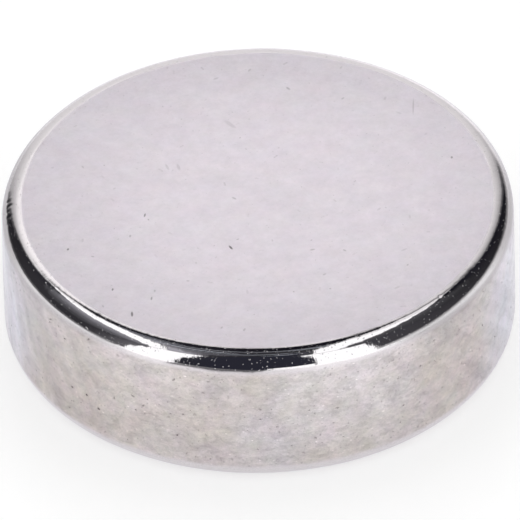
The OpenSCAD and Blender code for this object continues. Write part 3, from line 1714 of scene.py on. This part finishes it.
@dataclass(frozen=True)
class Studio:
    """Pale board, bent strip lamps, a pale backdrop, dark flags all round, and soft room light."""

    lamp_distance: float = 600.0
    lamp: float = 1.10
    lamp_end: float = 0.16
    ambient: float = 0.86
    rail_colour: Colour = (0.85, 0.9, 1.0)
    rail_edge: float = 0.25
    rail_end: float = 0.3

    def lamps(self) -> list[Strip]:
        """Two upright lamps in front, two overhead, and a low card.

        Returns:
            The strips.
        """
        return [
            Strip("left_front_lamp",
                  upright((-0.688, -0.02), (-0.67, 0.42), (-0.623, 0.86), (-0.613, 1.3), (-0.66, 1.75),
                          (-0.72, 2.5)),
                  upright((-1.58, -0.02), (-1.56, 0.45), (-1.51, 0.97), (-1.45, 1.5), (-1.46, 1.9),
                          (-1.60, 2.5)),
                  StripGlow(self.lamp, soft_end=self.lamp_end)),
            Strip("left_overhead_lamp",
                  overhead((-0.52, -0.50), (-0.50, -0.35), (-0.42, -0.2), (-0.33, 0), (-0.30, 0.2),
                           (-0.27, 0.4), (-0.27, 0.6), (-0.26, 0.80)),
                  overhead((-0.76, -0.54), (-0.70, -0.4), (-0.64, -0.2), (-0.61, 0), (-0.59, 0.2),
                           (-0.58, 0.4), (-0.55, 0.6), (-0.46, 0.80)),
                  StripGlow(self.lamp, soft_inner=0.13, soft_outer=0.13)),
            Strip("right_front_lamp",
                  upright((0.41, -0.02), (0.42, 0.46), (0.43, 0.98), (0.45, 1.5), (0.46, 2.5)),
                  upright((1.15, -0.02), (1.14, 0.42), (1.17, 0.91), (1.24, 1.4), (1.55, 2.5)),
                  StripGlow(self.lamp, soft_end=self.lamp_end)),
            Strip("right_overhead_lamp",
                  overhead((0.26, -0.50), (0.25, -0.35), (0.22, -0.2), (0.16, 0), (0.155, 0.2),
                           (0.15, 0.4), (0.14, 0.6), (0.14, 0.84)),
                  overhead((0.50, -0.54), (0.47, -0.4), (0.43, -0.2), (0.42, 0), (0.42, 0.2),
                           (0.40, 0.4), (0.38, 0.6), (0.31, 0.84)),
                  StripGlow(self.lamp, soft_inner=0.10, soft_outer=0.17)),
            Strip("low_card", upright((0.05, -0.02), (0.40, -0.02)), upright((0.06, 0.12), (0.41, 0.21)),
                  StripGlow(1.1, soft_outer=0.3)),
        ]

    def rails(self) -> list[Strip]:
        """Faint rails overhead between the lamps, which only the metal sees.

        Returns:
            The strips.
        """
        rails = (
            ("near_rail", 0.205, ((-0.24, 0.02), (0.12, 0.0)), ((-0.24, 0.12), (0.12, 0.10))),
            ("far_rail", 0.44, ((-0.30, 0.41), (0.15, 0.38)), ((-0.30, 0.47), (0.15, 0.44))),
            ("back_rail", 0.48, ((-0.30, 0.54), (-0.10, 0.56)), ((-0.30, 0.61), (-0.10, 0.61))),
            ("left_link", 0.70, ((-0.32, 0.26), (-0.05, 0.17)), ((-0.32, 0.32), (-0.05, 0.21))),
            ("right_link", 0.33, ((0.17, 0.27), (0.04, 0.29)), ((0.17, 0.36), (0.04, 0.35))),
            ("thin_link", 0.28, ((0.12, -0.18), (0.01, -0.16)), ((0.12, -0.08), (0.01, -0.10))),
        )
        return [Strip(name, overhead(*inner), overhead(*outer),
                      StripGlow(radiance, self.rail_colour, self.rail_edge, self.rail_edge, self.rail_end),
                      SeenBy.METAL_ONLY)
                for name, radiance, inner, outer in rails]

    def floor_sheets(self) -> list[FloorSheet]:
        """A dark sheet for what the rolled edge shows under the horizon, and the lamps' shade and sheen.

        Returns:
            The sheets, lowest first.
        """
        dark = ((-180, 30, 120, 0), (-150, 30, 120, 0), (-140, 30, 120, 1), (-120, 16, 62, 1),
                (-59.5, 16, 62, 1), (-58.5, 16, 62, 0), (-34, 11, 20, 0), (-33, 11, 20, 1),
                (-12, 11, 21, 1), (-4, 12, 26, 1), (1, 20, 60, 1), (5, 50, 300, 0.8), (8, 50, 300, 0),
                (180, 50, 300, 0))
        shade = ((-180, 6.3, 9, 0), (-165, 6.3, 9, 0), (-142, 6.3, 9, 0.26), (-62, 6.3, 9, 0.26),
                 (-50, 6.3, 9, 0), (50, 6.3, 9, 0), (60, 6.3, 9, 0.28), (130, 6.3, 9, 0.22),
                 (156, 6.3, 9, 0), (180, 6.3, 9, 0))
        sheen = ((-180, 5, 7, 0), (-110, 5, 7, 0), (-98, 5, 7, 0.03), (-88, 5, 7, 0.01),
                 (-75, 5, 8, 0.08), (-56, 5, 9, 0.09), (-38, 5, 9, 0.10), (-19, 5, 9, 0.08),
                 (-6, 5, 9, 0.04), (6, 5, 9, 0.05), (19, 5, 9, 0.17), (38, 5, 9, 0.11), (56, 5, 9, 0.03),
                 (75, 5, 8, 0), (98, 5, 7, 0.05), (110, 5, 7, 0), (180, 5, 7, 0))
        return [FloorSheet("floor_flag", dark, (0.030, 0.029, 0.036)),
                FloorSheet("floor_shade", shade, BLACK, above=0.025),
                FloorSheet("floor_sheen", sheen, WHITE, 2.0, above=0.03)]

    def world(self) -> None:
        """White to the camera and to glossy and transmitted rays, and plain soft light to the rest."""
        world = bpy.data.worlds.new("soft_room")
        bpy.context.scene.world = world
        world.use_nodes = True
        world.node_tree.nodes.clear()
        s = Sheet(world.node_tree)
        strength = s.mix(seen_directly(s), self.ambient, 1.0)
        s.show(s.node("Background", {"Color": rgba(WHITE), "Strength": strength}), "OutputWorld")

    def build(self) -> None:
        """Makes the whole studio."""
        Board().build()
        Surround().build()
        for sheet in self.floor_sheets():
            sheet.build()
        for strip in self.lamps() + self.rails():
            strip.build(self.lamp_distance)
        self.world()


@dataclass(frozen=True)
class Viewpoint:
    """The camera: a very long lens that looks down on the disc from the front.

    Distance, lens and sensor are in millimetres, and so is how far the aim lies right of the
    disc's centre and down from it. The clip distances are in metres.
    """

    elevation_deg: float = 38.8
    roll_deg: float = -1.2
    distance: float = 329.0
    lens: float = 1166.0
    sensor: float = 36.0
    aim_right: float = 0.0215
    aim_down: float = 0.0234
    clip: Fade = (0.01, 10.0)

    def build(self, centre: Vector) -> Object:
        """Makes the camera and gives it to the scene.

        Args:
            centre: the disc's centre, in metres.

        Returns:
            The camera.
        """
        up = math.radians(self.elevation_deg)
        back = Vector((0, -math.cos(up), math.sin(up)))
        right = Vector((1, 0, 0))
        above = back.cross(right)
        turn = Matrix.Rotation(math.radians(self.roll_deg), 3, back)
        right, above = turn @ right, turn @ above
        aim = centre + (right * self.aim_right - above * self.aim_down) * MM
        data = bpy.data.cameras.new("camera")
        data.sensor_width, data.lens = self.sensor, self.lens
        data.clip_start, data.clip_end = self.clip
        camera = scene_object("camera", data)
        camera.matrix_world = (Matrix.Translation(aim + back * self.distance * MM)
                               @ Matrix((right, above, back)).transposed().to_4x4())
        bpy.context.scene.camera = camera
        return camera


# ---- Making it ----


def main() -> None:
    """Builds the magnet's skin, its finish, the studio and the camera, in that order."""
    logging.basicConfig(level=logging.INFO, format="%(name)s: %(message)s")
    low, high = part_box(NODE)
    sizes = DiscSizes.from_frame(frame["record"], low, high)
    LOG.info("disc: %s", sizes)
    skin = DiscSkin(sizes).build()
    skin.data.materials.append(NickelPlating(sizes.radius, sizes.height).build(Effects()))
    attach(skin, BODY)
    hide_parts(NODE)
    Studio().build()
    Viewpoint().build((low + high) / 2)
    bpy.context.scene.view_settings.view_transform = "Standard"


if __name__ == "__main__":
    main()
